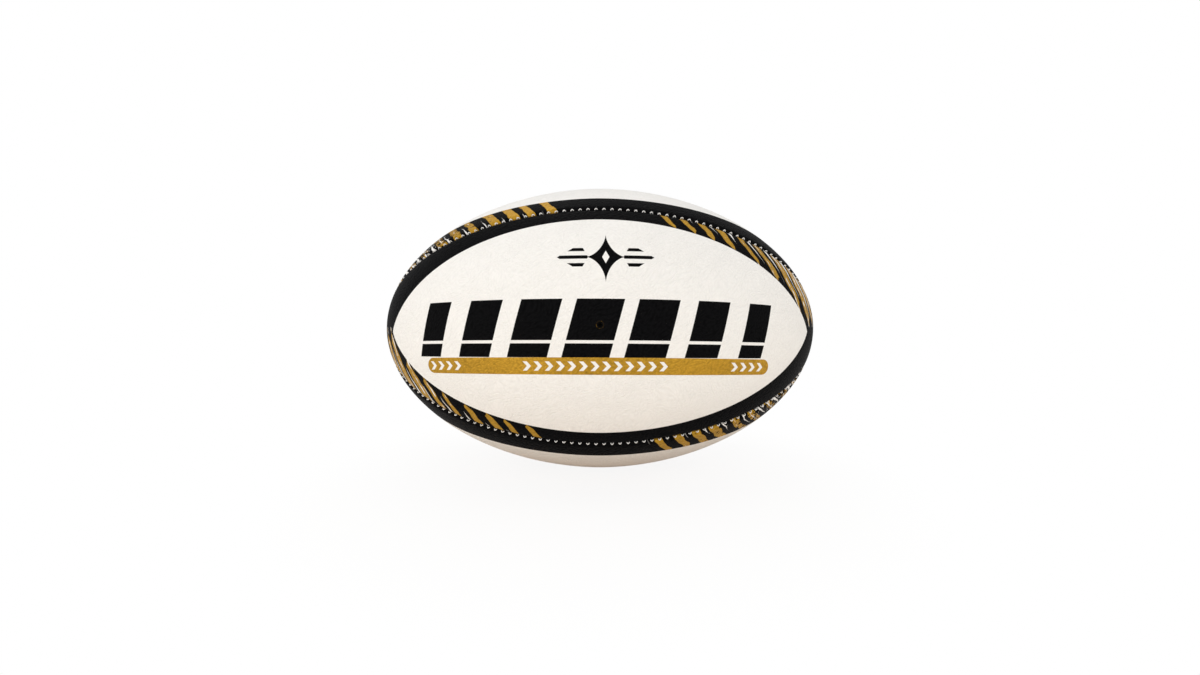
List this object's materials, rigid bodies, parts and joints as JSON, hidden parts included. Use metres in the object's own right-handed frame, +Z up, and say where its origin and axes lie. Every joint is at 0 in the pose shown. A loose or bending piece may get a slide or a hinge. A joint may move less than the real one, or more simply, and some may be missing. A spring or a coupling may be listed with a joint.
{
  "type": "rugby ball",
  "caption": "Hand-stitched rugby ball of moulded rubber panels on cloth plies, with an inner bladder and a needle valve, lying on its side.",
  "frame": {"origin": "centre of the ball", "axes": "+X along the long axis from tip to tip, -Y out of the needle port at the middle of the front panel, +Z up out of the middle of the top panel; the ball lies on its side on a floor 94 mm below the origin"},
  "size_m": [0.2894, 0.188, 0.188],
  "materials": {
    "moulded_rubber": "matte moulded rubber with a fine pebble grain",
    "outer_cloth": "woven poly-cotton, latex bonded",
    "middle_cloth": "woven poly-cotton, latex bonded",
    "inner_cloth": "woven poly-cotton, latex bonded",
    "waxed_thread": "waxed polyester thread",
    "bladder_latex": "smooth latex",
    "valve_rubber": "matte black rubber",
    "core_rubber": "soft black rubber",
    "patch_rubber": "vulcanised sheet rubber"
  },
  "bodies": {
    "root": {"panel_front": "moulded_rubber", "panel_top": "moulded_rubber", "panel_back": "moulded_rubber", "panel_bottom": "moulded_rubber", "outer_ply_front": "outer_cloth", "middle_ply_front": "middle_cloth", "inner_ply_front": "inner_cloth", "outer_ply_top": "outer_cloth", "middle_ply_top": "middle_cloth", "inner_ply_top": "inner_cloth", "outer_ply_back": "outer_cloth", "middle_ply_back": "middle_cloth", "inner_ply_back": "inner_cloth", "outer_ply_bottom": "outer_cloth", "middle_ply_bottom": "middle_cloth", "inner_ply_bottom": "inner_cloth", "stitching_front_top": "waxed_thread", "stitching_top_back": "waxed_thread", "stitching_back_bottom": "waxed_thread", "stitching_bottom_front": "waxed_thread", "bladder": "bladder_latex", "valve_stem": "valve_rubber", "valve_core": "core_rubber", "valve_patch": "patch_rubber"}
  },
  "joints": []
}
